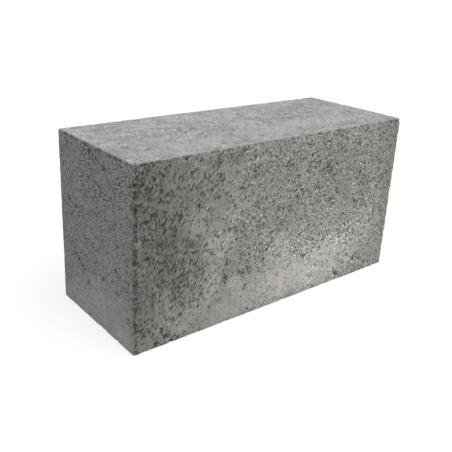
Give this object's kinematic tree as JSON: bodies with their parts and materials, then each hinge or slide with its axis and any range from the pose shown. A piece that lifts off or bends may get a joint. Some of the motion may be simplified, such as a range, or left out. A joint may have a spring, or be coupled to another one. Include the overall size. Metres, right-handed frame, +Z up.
{
  "type": "phosphate-bonded refractory brick",
  "caption": "Solid rectangular refractory brick, pressed and phosphate-bonded, grey, with a pitted open-pored surface and slightly rounded arrises.",
  "frame": {"origin": "middle of the bottom bed, the face the brick lies on", "axes": "+X along the brick's length, +Y across its width, +Z up out of the top bed"},
  "size_m": [0.23, 0.09, 0.118],
  "materials": {
    "brick": "matt, pressed and cured, open-pored"
  },
  "bodies": {
    "root": {"brick": "brick"}
  },
  "joints": []
}
